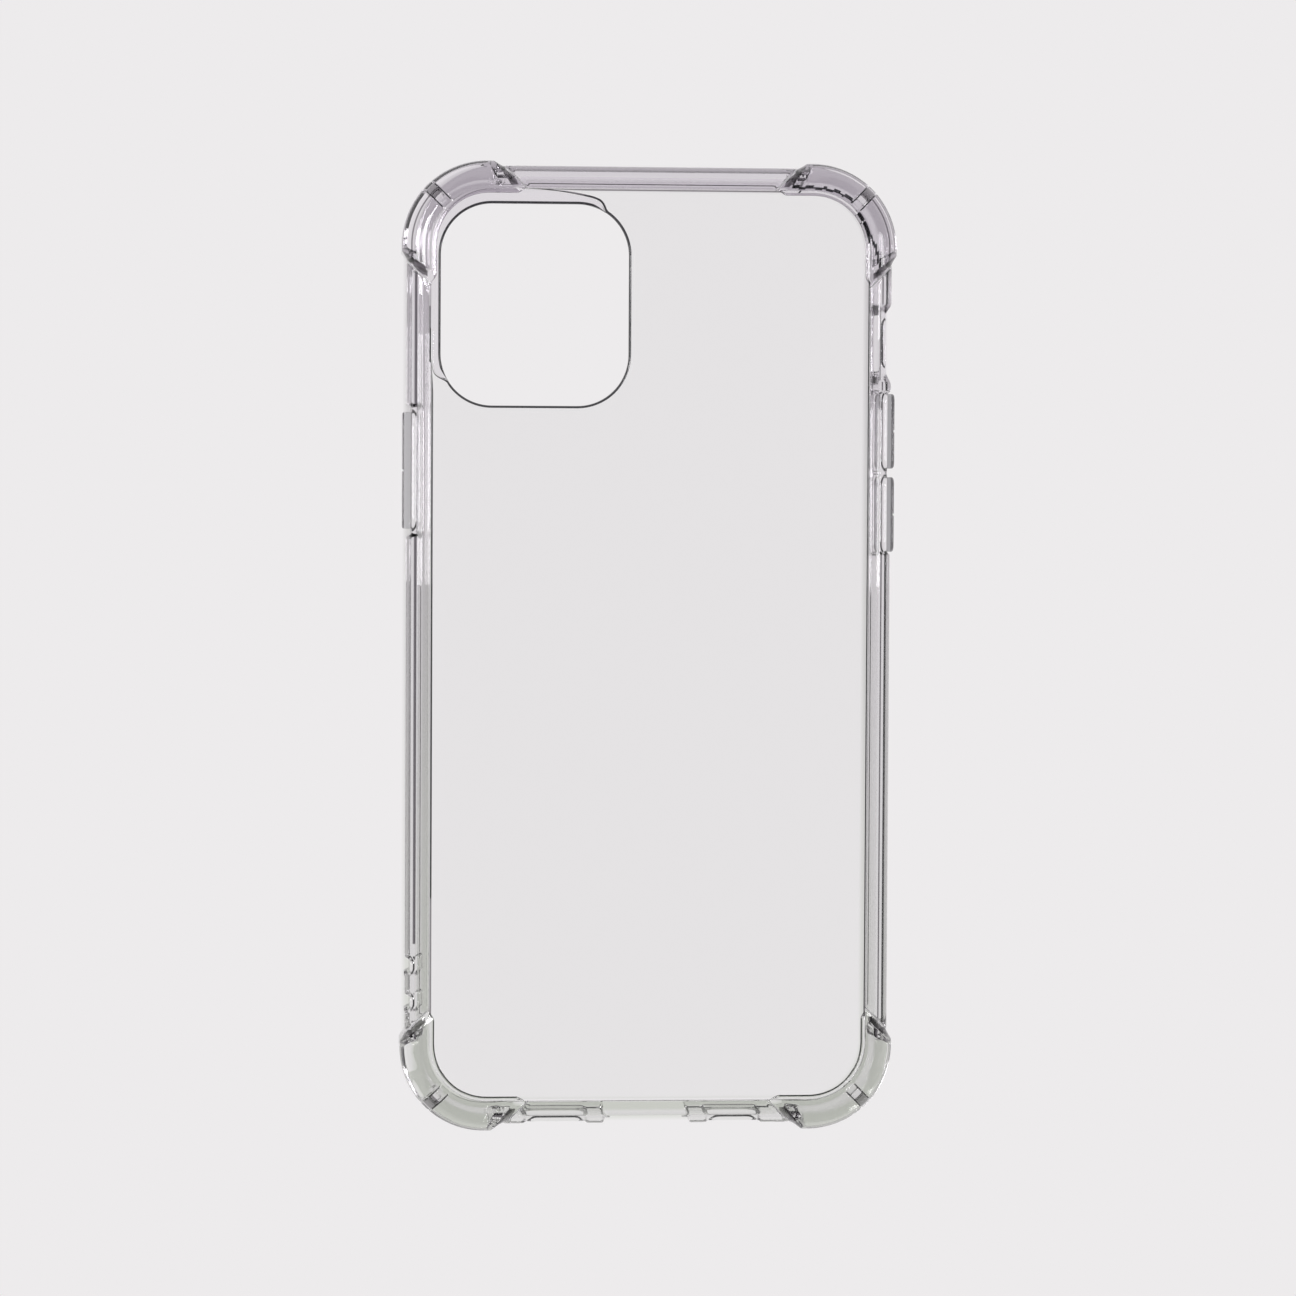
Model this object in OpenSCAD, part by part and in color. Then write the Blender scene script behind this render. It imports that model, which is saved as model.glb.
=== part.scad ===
// Clear shockproof case for a bar-shaped handset, lying on its front rim.
// A hard flat back plate sits in a soft frame that has four air-cushion corners,
// three press pads, side and end openings, and a two-eyed slot for a wrist strap.
// +Z leaves the back of the case, +Y points to the camera end. The origin is under
// the middle of the case, on the plane that the corner bumpers rest on.

/* [Handset] */
// Width of the handset that the case holds
phone_w = 71.4; // [69:0.1:74]
// Length of the handset
phone_l = 144; // [140:0.1:152]
// Thickness of the handset
phone_t = 8.1; // [7.8:0.05:8.6]
// Radius of the handset's four corners in plan
phone_corner_r = 10.75; // [10:0.05:11.5]
// Gap left around the handset
phone_gap = 0.1; // [0:0.05:0.2]

/* [Frame] */
// Thickness of the side walls
wall_t = 1.4; // [1.2:0.05:1.6]
// How far the bottom wall stays inside the line of the other walls
bottom_inset = 0.35; // [0.1:0.05:0.4]
// Thickness of the lip in front of the screen's edge
lip_t = 0.8; // [0.6:0.05:1.2]
// How far the lip reaches over the screen's edge
lip_reach = 1.2; // [0.8:0.1:1.6]
// Rounding of the frame's back edge
back_round = 3.4; // [3:0.1:3.6]
// Rounding of the frame's rim
rim_round = 1.2; // [0.8:0.1:1.4]
// Rounding of the pocket that follows the handset's own edge
pocket_round = 2.6; // [2:0.1:2.8]

/* [Back plate] */
// Thickness of the back plate
plate_t = 1.2; // [1:0.05:1.4]
// Distance from the frame's outer face to the plate's visible edge, at the sides
plate_inset_side = 3.7; // [3.5:0.05:3.9]
// The same distance at the camera end
plate_inset_top = 3.6; // [3.5:0.05:3.9]
// The same distance at the charging end
plate_inset_bottom = 4.2; // [3.9:0.05:4.4]
// Radius of the plate's corners
plate_r = 8.8; // [8:0.1:9.4]
// How far the plate's tongue runs into the frame's groove
tongue_reach = 0.8; // [0.5:0.05:1]
// Thickness of that tongue
tongue_t = 0.45; // [0.3:0.05:0.6]

/* [Corner bumpers] */
// How far a bumper stands out of the walls
bumper_proud = 0.75; // [0.4:0.05:1]
// How far a bumper stands above the back plate
bumper_step = 0.4; // [0.3:0.05:0.6]
// How far a bumper stands below the rim
bumper_foot = 0.35; // [0.2:0.05:0.5]
// Rounding of a bumper's back edge
bumper_back_round = 3.8; // [3.4:0.1:4]
// Rounding of a bumper's foot
bumper_foot_round = 1.4; // [1:0.1:1.6]
// Length of a bumper past the corner's round, along its outer face
bumper_tail_outer = 1.5; // [0.5:0.1:3]
// The same length along the plate's edge, where the oblique end finishes
bumper_tail_inner = 6.2; // [5:0.1:7]
// How far a bumper laps over the back plate
bumper_lap = 0.8; // [0.4:0.05:1]
// Depth of the air pockets behind a bumper
pocket_depth = 1.1; // [0.8:0.05:1.2]
// Height of the air pockets
pocket_h = 5.3; // [4:0.1:6]
// Width of the rib between a bumper's two air pockets
rib_w = 1.7; // [1.2:0.1:2.4]

/* [Camera cutout] */
// Width of the camera cutout
camera_w = 28.6; // [26:0.1:29]
// Length of the camera cutout
camera_l = 30.6; // [28:0.1:31]
// Radius of the camera cutout's corners
camera_r = 7.8; // [6:0.1:9]
// Distance from the case's centre line to the middle of the cutout
camera_x = 17.8; // [17:0.1:18]
// Distance from the case's middle to the middle of the cutout
camera_y = 52.25; // [51:0.05:52.4]

/* [Buttons] */
// Middle of the power button along the case
power_y = 27; // [20:0.1:30]
// Length of the power button
power_len = 17.8; // [12:0.1:20]
// Middle of the volume up button
volume_up_y = 33.4; // [30:0.1:33.6]
// Middle of the volume down button
volume_down_y = 20.6; // [17:0.1:20.8]
// Length of a volume button
volume_len = 11.5; // [9:0.1:11.6]
// Height of every button
button_h = 3.8; // [3:0.1:4.2]
// How far a button stands out of the wall
button_proud = 0.6; // [0.3:0.05:0.8]
// Thickness of a button's pad
button_t = 1.4; // [1.2:0.05:1.5]
// Thickness of the web that joins a pad to the wall
web_t = 0.4; // [0.3:0.05:0.5]
// Depth of the recess that the buttons sit in
recess_depth = 0.75; // [0.5:0.05:0.9]
// Free length of the recess past a button's end
recess_margin = 1.4; // [1:0.1:1.6]

/* [Openings] */
// Height of the side and end openings
opening_h = 5; // [4.6:0.1:5.2]
// Middle of the mute switch opening
mute_y = 46.9; // [46.5:0.1:47]
// Length of the mute switch opening
mute_len = 8.6; // [7:0.1:8.8]
// Depth of the finger scoop around it
mute_scoop = 1.15; // [0.8:0.05:1.2]
// Width of the charging notch
charge_w = 12.6; // [11:0.1:13]
// Depth of the notch in the back edge
charge_scoop = 1.45; // [1:0.05:1.6]
// Middle of the left end slot, from the centre line
slot_left_x = 14; // [13.5:0.1:14.5]
// Length of the left end slot
slot_left_len = 8.8; // [7:0.1:9]
// Middle of the right end slot, from the centre line
slot_right_x = 13.35; // [13:0.05:14]
// Length of the right end slot
slot_right_len = 7.5; // [6:0.1:8]
// Depth of the shallow scoop around the end slots
slot_scoop = 0.5; // [0.3:0.05:0.6]
// Middle of the wrist strap slot along the case
strap_y = 51.55; // [50:0.05:52]
// Length of the wrist strap slot
strap_len = 8.3; // [7.5:0.1:8.4]
// Width of the bar between its two eyes
strap_bar_w = 2.7; // [2:0.1:3]
// Depth of the scoop around the eyes
strap_scoop = 0.8; // [0.5:0.05:0.9]

/* [Hidden] */
$fn = 64;

// Heights, from the plane that the bumpers rest on
rim_z = bumper_foot;
screen_z = rim_z + lip_t;
plate_z = screen_z + phone_t + phone_gap / 2;
back_z = plate_z + plate_t;
bumper_z = back_z + bumper_step;
mid_z = (screen_z + plate_z) / 2;
button_z = mid_z + 0.4;
tongue_z = plate_z + 0.35;

// Half sizes and radii in plan
cavity_w = phone_w / 2 + phone_gap;
cavity_l = phone_l / 2 + phone_gap;
cavity_r = phone_corner_r + phone_gap;
frame_r = cavity_r + wall_t;
half_w = cavity_w + wall_t;
half_l = cavity_l + wall_t;
corner_x = half_w - frame_r;
corner_y = half_l - frame_r;
lip_r = cavity_r - lip_reach;
plate_w = half_w - plate_inset_side;
plate_top = half_l - plate_inset_top;
plate_bottom = half_l - plate_inset_bottom;
bumper_r = frame_r + bumper_proud;
lap_r = frame_r - plate_inset_side - bumper_lap;

// Slope of a bumper's oblique end, in length per unit of radius
tail_slope = (bumper_tail_inner - bumper_tail_outer) / (bumper_proud + plate_inset_side);
tail = bumper_tail_outer + (bumper_r - lap_r) * tail_slope + 0.1;

window_depth = wall_t + 3;
window_round = 1.6;
web_x = cavity_w + 0.05;
pad_x = half_w + button_proud - button_t;
ramp = 0.8;
tall = bumper_z + 4;

// Rectangle with round corners, between two corner points
module rounded_rect(low, high, r) {
    size = high - low;
    translate([low.x + r, low.y]) square([size.x - 2 * r, size.y]);
    translate([low.x, low.y + r]) square([size.x, size.y - 2 * r]);
    for (x = [low.x + r, high.x - r], y = [low.y + r, high.y - r])
        translate([x, y]) circle(r);
}

module mirrored(flip, axis) {
    if (flip) mirror(axis) children();
    else children();
}

// Outer outline of a wall's section, round at the back and at the rim.
// The first axis is the radius from a corner's centre, the second is height.
module wall_outline(inner, outer, low, high, round_back, round_rim) {
    intersection() {
        union() {
            translate([0, low + round_rim])
                square([outer, high - low - round_back - round_rim]);
            translate([0, high - round_back]) square([outer - round_back, round_back]);
            translate([0, low]) square([outer - round_rim, round_rim]);
            translate([outer - round_back, high - round_back]) circle(round_back);
            translate([outer - round_rim, low + round_rim]) circle(round_rim);
        }
        translate([inner, 0]) square([outer, tall]);
    }
}

// Space that the handset fills, and the screen opening in front of it
module cavity_outline() {
    height = plate_z - screen_z;
    translate([0, screen_z]) square([cavity_r - pocket_round, height]);
    translate([0, screen_z + pocket_round]) square([cavity_r, height - 2 * pocket_round]);
    for (z = [screen_z + pocket_round, plate_z - pocket_round])
        translate([cavity_r - pocket_round, z]) circle(pocket_round);
    translate([0, -1]) square([lip_r, screen_z + 2]);
}

// Plain wall, with the groove for the plate's tongue at this distance from
// the frame's outer face
module rail_section(outer, plate_inset) {
    seat = frame_r - plate_inset;
    difference() {
        wall_outline(seat, outer, rim_z, back_z, back_round, rim_round);
        cavity_outline();
        translate([0, tongue_z]) square([seat + tongue_reach, tongue_t]);
    }
}

module bumper_section() {
    difference() {
        wall_outline(lap_r, bumper_r, 0, bumper_z, bumper_back_round, bumper_foot_round);
        cavity_outline();
    }
}

// Back plate blank: the visible panel and the tongue round it. The extra
// depth below the panel clears its seat in the frame.
module plate_blank(extra = 0) {
    low = [-plate_w, -plate_bottom];
    high = [plate_w, plate_top];
    reach = [tongue_reach, tongue_reach];
    translate([0, 0, plate_z - extra])
        linear_extrude(plate_t + extra) rounded_rect(low, high, plate_r);
    translate([0, 0, tongue_z])
        linear_extrude(tongue_t) rounded_rect(low - reach, high + reach, plate_r + tongue_reach);
}

module camera_hole() {
    middle = [-camera_x, camera_y];
    half = [camera_w, camera_l] / 2;
    translate([0, 0, plate_z - 1])
        linear_extrude(plate_t + 3) rounded_rect(middle - half, middle + half, camera_r);
}

// Soft area between the frame and the camera cutout, as a tall prism.
// It fades into the cutout's round at the lower left and at the upper right.
module soft_patch() {
    left = -camera_x - camera_w / 2;
    right = -camera_x + camera_w / 2;
    low = camera_y - camera_l / 2;
    high = camera_y + camera_l / 2;
    translate([0, 0, plate_z - 1])
        linear_extrude(plate_t + 3)
            polygon([
                [left - 8, low + 7],
                [-plate_w, low + 7],
                [left - 1, low + 5.3],
                [left - 0.5, low + 4.2],
                [left + 1.3, low + 3.2],
                [-camera_x, camera_y],
                [right - 3.5, high - 1.1],
                [right - 4.5, high + 0.7],
                [right - 8.5, high + 1.6],
                [right - 15, plate_top],
                [right - 15, plate_top + 6],
                [left - 8, plate_top + 6]
            ]);
}

// Everything beyond a corner bumper's two oblique ends, measured from the
// corner's centre
module bumper_region() {
    inner = lap_r - 1;
    outer = bumper_r + 1.5;
    near = bumper_tail_outer + (bumper_r - inner) * tail_slope;
    far = bumper_tail_outer + (bumper_r - outer) * tail_slope;
    translate([0, 0, -2])
        linear_extrude(tall)
            polygon([
                [inner, -near], [outer, -far], [outer, outer],
                [-far, outer], [-near, inner]
            ]);
}

// Air pocket between two angles, open towards the handset
module air_pocket(from, to) {
    rotate([0, 0, from])
        rotate_extrude(angle = to - from)
            translate([cavity_r - 1, mid_z - pocket_h / 2])
                square([pocket_depth + 1, pocket_h]);
}

// Straight stretch of a section, leaving the +X +Y corner along the +X wall
module side_run(length) {
    rotate([90, 0, 0]) linear_extrude(length) children();
}

// The same stretch along the +Y wall
module end_run(length) {
    mirror([1, -1, 0]) side_run(length) children();
}

// Corner at side_x, side_y: -1 is left or bottom, 1 is right or top.
// The raised band ends obliquely, on short stretches of the frame itself.
module corner_bumper(side_x, side_y) {
    rib_half = asin(rib_w / 2 / cavity_r);
    edge = 2.5;
    end_r = side_y < 0 ? frame_r - bottom_inset : frame_r;
    end_inset = side_y < 0 ? plate_inset_bottom : plate_inset_top;
    color("lavender", 0.6)
        difference() {
            mirrored(side_x < 0, [1, 0, 0])
                mirrored(side_y < 0, [0, 1, 0])
                    translate([corner_x, corner_y, 0])
                        difference() {
                            union() {
                                intersection() {
                                    union() {
                                        rotate_extrude(angle = 90) bumper_section();
                                        side_run(tail) bumper_section();
                                        end_run(tail) bumper_section();
                                    }
                                    bumper_region();
                                }
                                side_run(tail) rail_section(frame_r, plate_inset_side);
                                end_run(tail) rail_section(end_r, end_inset);
                            }
                            air_pocket(edge, 45 - rib_half);
                            air_pocket(45 + rib_half, 90 - edge);
                        }
            plate_blank(0.5);
            frame_cuts();
        }
}

// Shallow scoop in the outer face of the +X wall, with sloping ends
module scoop(middle, length, face, depth) {
    slope = ramp / depth;
    translate([0, 0, -1])
        linear_extrude(tall)
            polygon([
                [face - depth, middle - length / 2],
                [face + 1, middle - length / 2 - (depth + 1) * slope],
                [face + 1, middle + length / 2 + (depth + 1) * slope],
                [face - depth, middle + length / 2]
            ]);
}

// Round-cornered block that runs along +X from a point
module window(from, depth, middle, length, height, r) {
    translate([from, middle, button_z])
        rotate([90, 0, 90])
            linear_extrude(depth)
                rounded_rect([-length, -height] / 2, [length, height] / 2, r);
}

module wall_window(face, middle, length) {
    window(face - window_depth, window_depth + 2, middle, length, opening_h, window_round);
}

module right_cuts() {
    middle = (volume_up_y + volume_down_y) / 2;
    length = volume_up_y - volume_down_y + volume_len + 2 * recess_margin;
    scoop(mute_y, mute_len, half_w, mute_scoop);
    wall_window(half_w, mute_y, mute_len);
    scoop(middle, length - 2 * ramp, half_w, recess_depth);
    for (y = [volume_up_y, volume_down_y])
        wall_window(half_w, y, volume_len + 1);
}

module left_cuts() {
    eye_len = (strap_len - strap_bar_w) / 2;
    mirror([1, 0, 0]) {
        scoop(power_y, power_len + 2 * (recess_margin - ramp), half_w, recess_depth);
        wall_window(half_w, power_y, power_len + 1);
        wall_window(half_w, -strap_y, strap_len);
        for (side = [-1, 1])
            scoop(-strap_y + side * (strap_bar_w + eye_len) / 2, eye_len - 0.6, half_w, strap_scoop);
    }
}

module bottom_cuts() {
    face = half_l - bottom_inset;
    rotate([0, 0, -90]) {
        scoop(0, charge_w, face, charge_scoop);
        translate([face - window_depth, -charge_w / 2, -1])
            cube([window_depth + 2, charge_w, button_z + opening_h / 2 + 1]);
        scoop(-slot_left_x, slot_left_len, face, slot_scoop);
        wall_window(face, -slot_left_x, slot_left_len);
        scoop(slot_right_x, slot_right_len, face, slot_scoop);
        wall_window(face, slot_right_x, slot_right_len);
    }
}

// Every recess and opening in the frame's walls
module frame_cuts() {
    right_cuts();
    left_cuts();
    bottom_cuts();
}

module side_rail(side) {
    color("aliceblue", 0.6)
        difference() {
            mirrored(side < 0, [1, 0, 0])
                translate([corner_x, corner_y - tail, 0])
                    side_run(2 * (corner_y - tail)) rail_section(frame_r, plate_inset_side);
            frame_cuts();
        }
}

module end_rail(side, outer, plate_inset) {
    color("aliceblue", 0.6)
        difference() {
            mirrored(side < 0, [0, 1, 0])
                translate([corner_x - tail, corner_y, 0])
                    end_run(2 * (corner_x - tail)) rail_section(outer, plate_inset);
            frame_cuts();
        }
}

module back_plate() {
    color("gainsboro", 0.5)
        difference() {
            plate_blank();
            soft_patch();
            camera_hole();
        }
}

module camera_border() {
    color("thistle", 0.7)
        difference() {
            intersection() {
                plate_blank();
                soft_patch();
            }
            camera_hole();
        }
}

// Press pad on the +X side, with a shallow notch across its middle
module button_pad(middle, length) {
    difference() {
        window(pad_x, button_t, middle, length, button_h, 1.2);
        translate([half_w + button_proud, middle, button_z])
            cylinder(h = button_h + 1, r = 0.22, center = true);
    }
}

// Thin web that closes the wall's window behind a pad
module button_web(middle, length) {
    window(web_x, web_t, middle, length + 1, opening_h, window_round);
}

module power_button() {
    color("silver", 0.8) mirror([1, 0, 0]) button_pad(power_y, power_len);
}

module volume_up_button() {
    color("silver", 0.8) button_pad(volume_up_y, volume_len);
}

module volume_down_button() {
    color("silver", 0.8) button_pad(volume_down_y, volume_len);
}

module power_button_web() {
    color("white", 0.6) mirror([1, 0, 0]) button_web(power_y, power_len);
}

module volume_up_web() {
    color("white", 0.6) button_web(volume_up_y, volume_len);
}

module volume_down_web() {
    color("white", 0.6) button_web(volume_down_y, volume_len);
}

// Bar between the two strap eyes, a little proud of the wall
module strap_bar() {
    depth = wall_t + 0.1;
    color("silver", 0.8)
        translate([-cavity_w - depth, -strap_y - strap_bar_w / 2, button_z - opening_h / 2])
            cube([depth, strap_bar_w, opening_h]);
}

back_plate();
camera_border();
end_rail(1, frame_r, plate_inset_top);  // top_rail
end_rail(-1, frame_r - bottom_inset, plate_inset_bottom);  // bottom_rail
side_rail(-1);  // left_rail
side_rail(1);  // right_rail
corner_bumper(-1, 1);  // top_left_bumper
corner_bumper(1, 1);  // top_right_bumper
corner_bumper(-1, -1);  // bottom_left_bumper
corner_bumper(1, -1);  // bottom_right_bumper
power_button();
volume_up_button();
volume_down_button();
power_button_web();
volume_up_web();
volume_down_web();
strap_bar();
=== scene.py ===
import math

import bmesh
import bpy
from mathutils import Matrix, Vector


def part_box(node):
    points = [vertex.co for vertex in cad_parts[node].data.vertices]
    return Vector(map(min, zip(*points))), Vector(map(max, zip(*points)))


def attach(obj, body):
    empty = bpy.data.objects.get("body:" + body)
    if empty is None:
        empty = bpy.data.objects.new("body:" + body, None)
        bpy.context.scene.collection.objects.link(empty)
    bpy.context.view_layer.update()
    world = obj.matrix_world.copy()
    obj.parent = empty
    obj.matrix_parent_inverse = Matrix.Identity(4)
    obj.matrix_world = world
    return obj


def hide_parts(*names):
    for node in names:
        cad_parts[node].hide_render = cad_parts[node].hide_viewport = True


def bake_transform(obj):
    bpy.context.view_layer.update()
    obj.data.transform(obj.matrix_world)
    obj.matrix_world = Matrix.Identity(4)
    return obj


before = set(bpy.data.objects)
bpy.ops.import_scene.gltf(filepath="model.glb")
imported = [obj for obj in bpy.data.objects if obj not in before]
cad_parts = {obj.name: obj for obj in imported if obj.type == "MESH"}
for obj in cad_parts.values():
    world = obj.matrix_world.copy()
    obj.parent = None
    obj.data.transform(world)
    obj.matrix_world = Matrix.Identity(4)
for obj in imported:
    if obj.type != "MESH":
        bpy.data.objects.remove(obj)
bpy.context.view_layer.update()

MM = 0.001

# ---------------------------------------------------------------- sizes, in mm


def box_mm(node):
    """The lowest and highest corner of a node's box, in mm."""
    low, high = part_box(node)
    return [v / MM for v in low], [v / MM for v in high]


def middle_mm(node, axis):
    low, high = box_mm(node)
    return (low[axis] + high[axis]) / 2


HALF_W = box_mm("right_rail")[1][0]
HALF_L = box_mm("top_rail")[1][1]
BOTTOM_FACE = -box_mm("bottom_rail")[0][1]
RIM_Z = box_mm("right_rail")[0][2]
BACK_Z = box_mm("back_plate")[1][2]
PLATE_Z = box_mm("back_plate")[0][2]
BUMPER_Z = box_mm("top_right_bumper")[1][2]
BUMPER_PROUD = box_mm("top_right_bumper")[1][0] - HALF_W

WALL = 1.4
FRAME_R = 12.25
CAVITY_R = FRAME_R - WALL
BUMPER_R = FRAME_R + BUMPER_PROUD
CORNER_X = HALF_W - FRAME_R
CORNER_Y = HALF_L - FRAME_R
SCREEN_Z = RIM_Z + 0.8
LIP_R = CAVITY_R - 1.2
POCKET_ROUND = 2.6
MID_Z = (SCREEN_Z + PLATE_Z) / 2

TONGUE = 0.8
PLATE_W = box_mm("back_plate")[1][0] - TONGUE
PLATE_TOP = box_mm("back_plate")[1][1] - TONGUE
PLATE_BOTTOM = -box_mm("back_plate")[0][1] - TONGUE
PLATE_R = 8.8
SEAM = 0.05

CAMERA_W, CAMERA_L, CAMERA_R = 28.6, 30.6, 7.8
CAMERA_X, CAMERA_Y = -17.8, 52.25

# Windows through the walls: height and corner radius, of the pads and of the strap's eyes
WINDOW_H, WINDOW_R = 5.0, 1.6
EYE_H, EYE_R = WINDOW_H - 0.4, 1.2
BUTTON_Z = middle_mm("power_button", 2)
VOLUME_UP_Y = middle_mm("volume_up_button", 1)
VOLUME_DOWN_Y = middle_mm("volume_down_button", 1)
POWER_Y = 27.0
MUTE_Y, MUTE_LENGTH = 46.9, 8.6
EYE_YS, EYE_LENGTH = (-54.3, -48.8), 2.8
SLOT_LEFT_X, SLOT_LEFT_LENGTH = -14.0, 8.8
SLOT_RIGHT_X, SLOT_RIGHT_LENGTH = 13.35, 7.5
NOTCH_LENGTH = 12.6
VOLUME_WINDOW, POWER_WINDOW = 12.5, 18.8
# The recesses of the wall's outer face round them: length and depth
VOLUME_RECESS, POWER_RECESS, EYE_RECESS = 23.9, 19.0, 2.0
MUTE_DEEP, PAD_DEEP, EYE_DEEP, SLOT_DEEP, NOTCH_DEEP = 1.15, 0.75, 0.8, 0.5, 1.45

# ---------------------------------------------------------------- small maths


def clamp01(v):
    return max(0.0, min(1.0, v))


def smooth(v):
    v = clamp01(v)
    return v * v * (3 - 2 * v)


def lerp(a, b, w):
    return a + (b - a) * w


def soft_min(a, b, blend):
    """The smaller of a and b, with a round of this size where they cross."""
    if abs(a - b) >= blend:
        return min(a, b)
    h = (blend - abs(a - b)) / blend
    return min(a, b) - h * h * blend / 4


def arc(cx, cy, r, start, end, count):
    """Points on an arc, from start to end in degrees, both ends included."""
    points = []
    for i in range(count + 1):
        a = math.radians(lerp(start, end, i / count))
        points.append((cx + r * math.cos(a), cy + r * math.sin(a)))
    return points


def line(a, b, count):
    """Points from a up to, but not at, b."""
    return [(lerp(a[0], b[0], i / count), lerp(a[1], b[1], i / count)) for i in range(count)]


# ------------------------------------------------------ the frame's two sections


FILLET_X = CAVITY_R - POCKET_ROUND
FILLET_LOW = SCREEN_Z + POCKET_ROUND
FILLET_HIGH = PLATE_Z - POCKET_ROUND


def fillet_rise(r):
    """How far a pocket fillet stands past its start at this radius."""
    return math.sqrt(POCKET_ROUND**2 - max(r - FILLET_X, 0.0) ** 2)


def inner_wall(z):
    """Radius of the pocket's wall at a height."""
    past = max(FILLET_LOW - z, z - FILLET_HIGH, 0.0)
    if past >= POCKET_ROUND:
        return FILLET_X
    return FILLET_X + math.sqrt(POCKET_ROUND**2 - past**2)


def section(outer, low, high, seat, lap, back_round, rim_round):
    """Closed outline of a wall: (radius from the corner's centre, height).

    Every section has the same number of points, so one can be blended into another.
    """
    edge = 0.16
    lip_round = 0.3
    lap_z = BACK_Z + 0.04 if high > BACK_Z else high - edge - 0.3
    lip_angle = math.degrees(math.acos((LIP_R - FILLET_X) / POCKET_ROUND))
    seat_angle = math.degrees(math.acos((max(seat, FILLET_X) - FILLET_X) / POCKET_ROUND))
    points = line((seat, FILLET_HIGH + fillet_rise(seat)), (seat, lap_z), 3)
    points += line((seat, lap_z), (lap, lap_z + (0.2 if lap == seat else 0.01)), 2)
    points += arc(lap + edge, high - edge, edge, 180, 90, 4)
    points += line((lap + edge + 0.03, high), (outer - back_round - 0.03, high), 6)
    points += arc(outer - back_round, high - back_round, back_round, 90, 0, 20)
    points += line((outer, high - back_round - 0.1), (outer, low + rim_round + 0.1), 5)
    points += arc(outer - rim_round, low + rim_round, rim_round, 0, -90, 8)
    points += line((outer - rim_round - 0.05, low), (LIP_R + lip_round + 0.05, low), 2)
    points += arc(LIP_R + lip_round, low + lip_round, lip_round, -90, -180, 4)
    points += line((LIP_R, low + lip_round + 0.03), (LIP_R, FILLET_LOW - fillet_rise(LIP_R)), 2)
    points += arc(FILLET_X, FILLET_LOW, POCKET_ROUND, -lip_angle, 0, 15)
    points += line((CAVITY_R, FILLET_LOW + 0.1), (CAVITY_R, FILLET_HIGH - 0.1), 7)
    points += arc(FILLET_X, FILLET_HIGH, POCKET_ROUND, 0, seat_angle, 18)[:-1]
    return points


# How far a bumper laps over the plate's edge
LAP = 0.8
# How far the cross-sections lean with a bumper's oblique end, per mm inwards
TAIL_SLOPE = 0.85
# Where a bumper's oblique end begins past the corner's tangent and how long it runs, at the
# outer face; and how much both grow per mm inwards
RAMP_AT, RAMP_SLOPE = 0.9, 0.7
RAMP_LENGTH, RAMP_WIDENS = 0.85, 0.27
# The valley at the foot of an oblique end, as a share of the bumper's rise
VALLEY = 0.12
# The rib between a corner's two air pockets, and the crease along each side of it
RIB_HALF = 0.85
CREASE_HALF, CREASE_DEPTH = 0.17, 0.17


def rail_section(outer, seat):
    return section(outer, RIM_Z, BACK_Z, seat, seat, 3.3, 1.2)


def bumper_section(seat):
    return section(BUMPER_R, 0.0, BUMPER_Z, seat, seat - LAP, 3.8, 1.4)


# ----------------------------------------------- features along the frame's walls

SCOOPS = {
    # side: [(middle, length, depth, ramp at the low end, ramp at the high end)]
    "right": [
        (MUTE_Y, MUTE_LENGTH, MUTE_DEEP, 2.4, 1.9),
        ((VOLUME_UP_Y + VOLUME_DOWN_Y) / 2, VOLUME_RECESS, PAD_DEEP, 0.8, 0.8),
    ],
    "left": [
        (POWER_Y, POWER_RECESS, PAD_DEEP, 0.8, 0.8),
        (EYE_YS[0], EYE_RECESS, EYE_DEEP, 0.5, 0.3),
        (EYE_YS[1], EYE_RECESS, EYE_DEEP, 0.3, 0.5),
    ],
    "top": [],
    "bottom": [
        (0.0, NOTCH_LENGTH, NOTCH_DEEP, 0.5, 0.5),
        (SLOT_LEFT_X, SLOT_LEFT_LENGTH, SLOT_DEEP, 0.7, 0.7),
        (SLOT_RIGHT_X, SLOT_RIGHT_LENGTH, SLOT_DEEP, 0.7, 0.7),
    ],
}


def scoop_depth(side, along):
    """How far the wall's outer face is recessed at this place along a side."""
    depth = 0.0
    for middle, length, deep, low_ramp, high_ramp in SCOOPS[side]:
        low, high = middle - length / 2, middle + length / 2
        up = smooth((along - (low - low_ramp)) / low_ramp)
        down = smooth(((high + high_ramp) - along) / high_ramp)
        depth = max(depth, deep * min(up, down))
    return depth


def stations_along(start, end, widest, marks):
    """Places from start to end, closer together round each (mark, reach, step)."""
    places = [start]
    sign = 1 if end > start else -1
    while abs(places[-1] - start) < abs(end - start) - 1e-6:
        here = places[-1]
        step = widest
        for mark, reach, fine in marks:
            gap = abs(here - mark) - reach
            step = min(step, max(fine, 0.35 * gap if gap > 0 else fine))
        places.append(here + sign * step)
    places[-1] = end
    if len(places) > 2 and abs(places[-2] - end) < 0.05:
        places.pop(-2)
    return places


# Steps between the frame's cross-sections: on a plain wall, round a corner and at a detail
WALL_STEP, CORNER_STEP, DETAIL_STEP = 2.4, 0.45, 0.11


def leg_marks(side, to_tau):
    """Where the steps are fine: at the bumper's end and at both ramps of every recess."""
    marks = [(1.35, 1.45, DETAIL_STEP)]
    for middle, length, deep, low_ramp, high_ramp in SCOOPS[side]:
        for ramp_middle, ramp in (
            (middle - length / 2 - low_ramp / 2, low_ramp),
            (middle + length / 2 + high_ramp / 2, high_ramp),
        ):
            marks.append((to_tau(ramp_middle), ramp / 2 + 0.1, DETAIL_STEP))
    return marks


ARC_HALF = FRAME_R * math.pi / 4


def shear(tau):
    """How much the mesh lines lean with a bumper's oblique end."""
    return smooth((tau + 8.0) / 7.5) * (1 - smooth((tau - 3.5) / 15.0))


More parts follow.
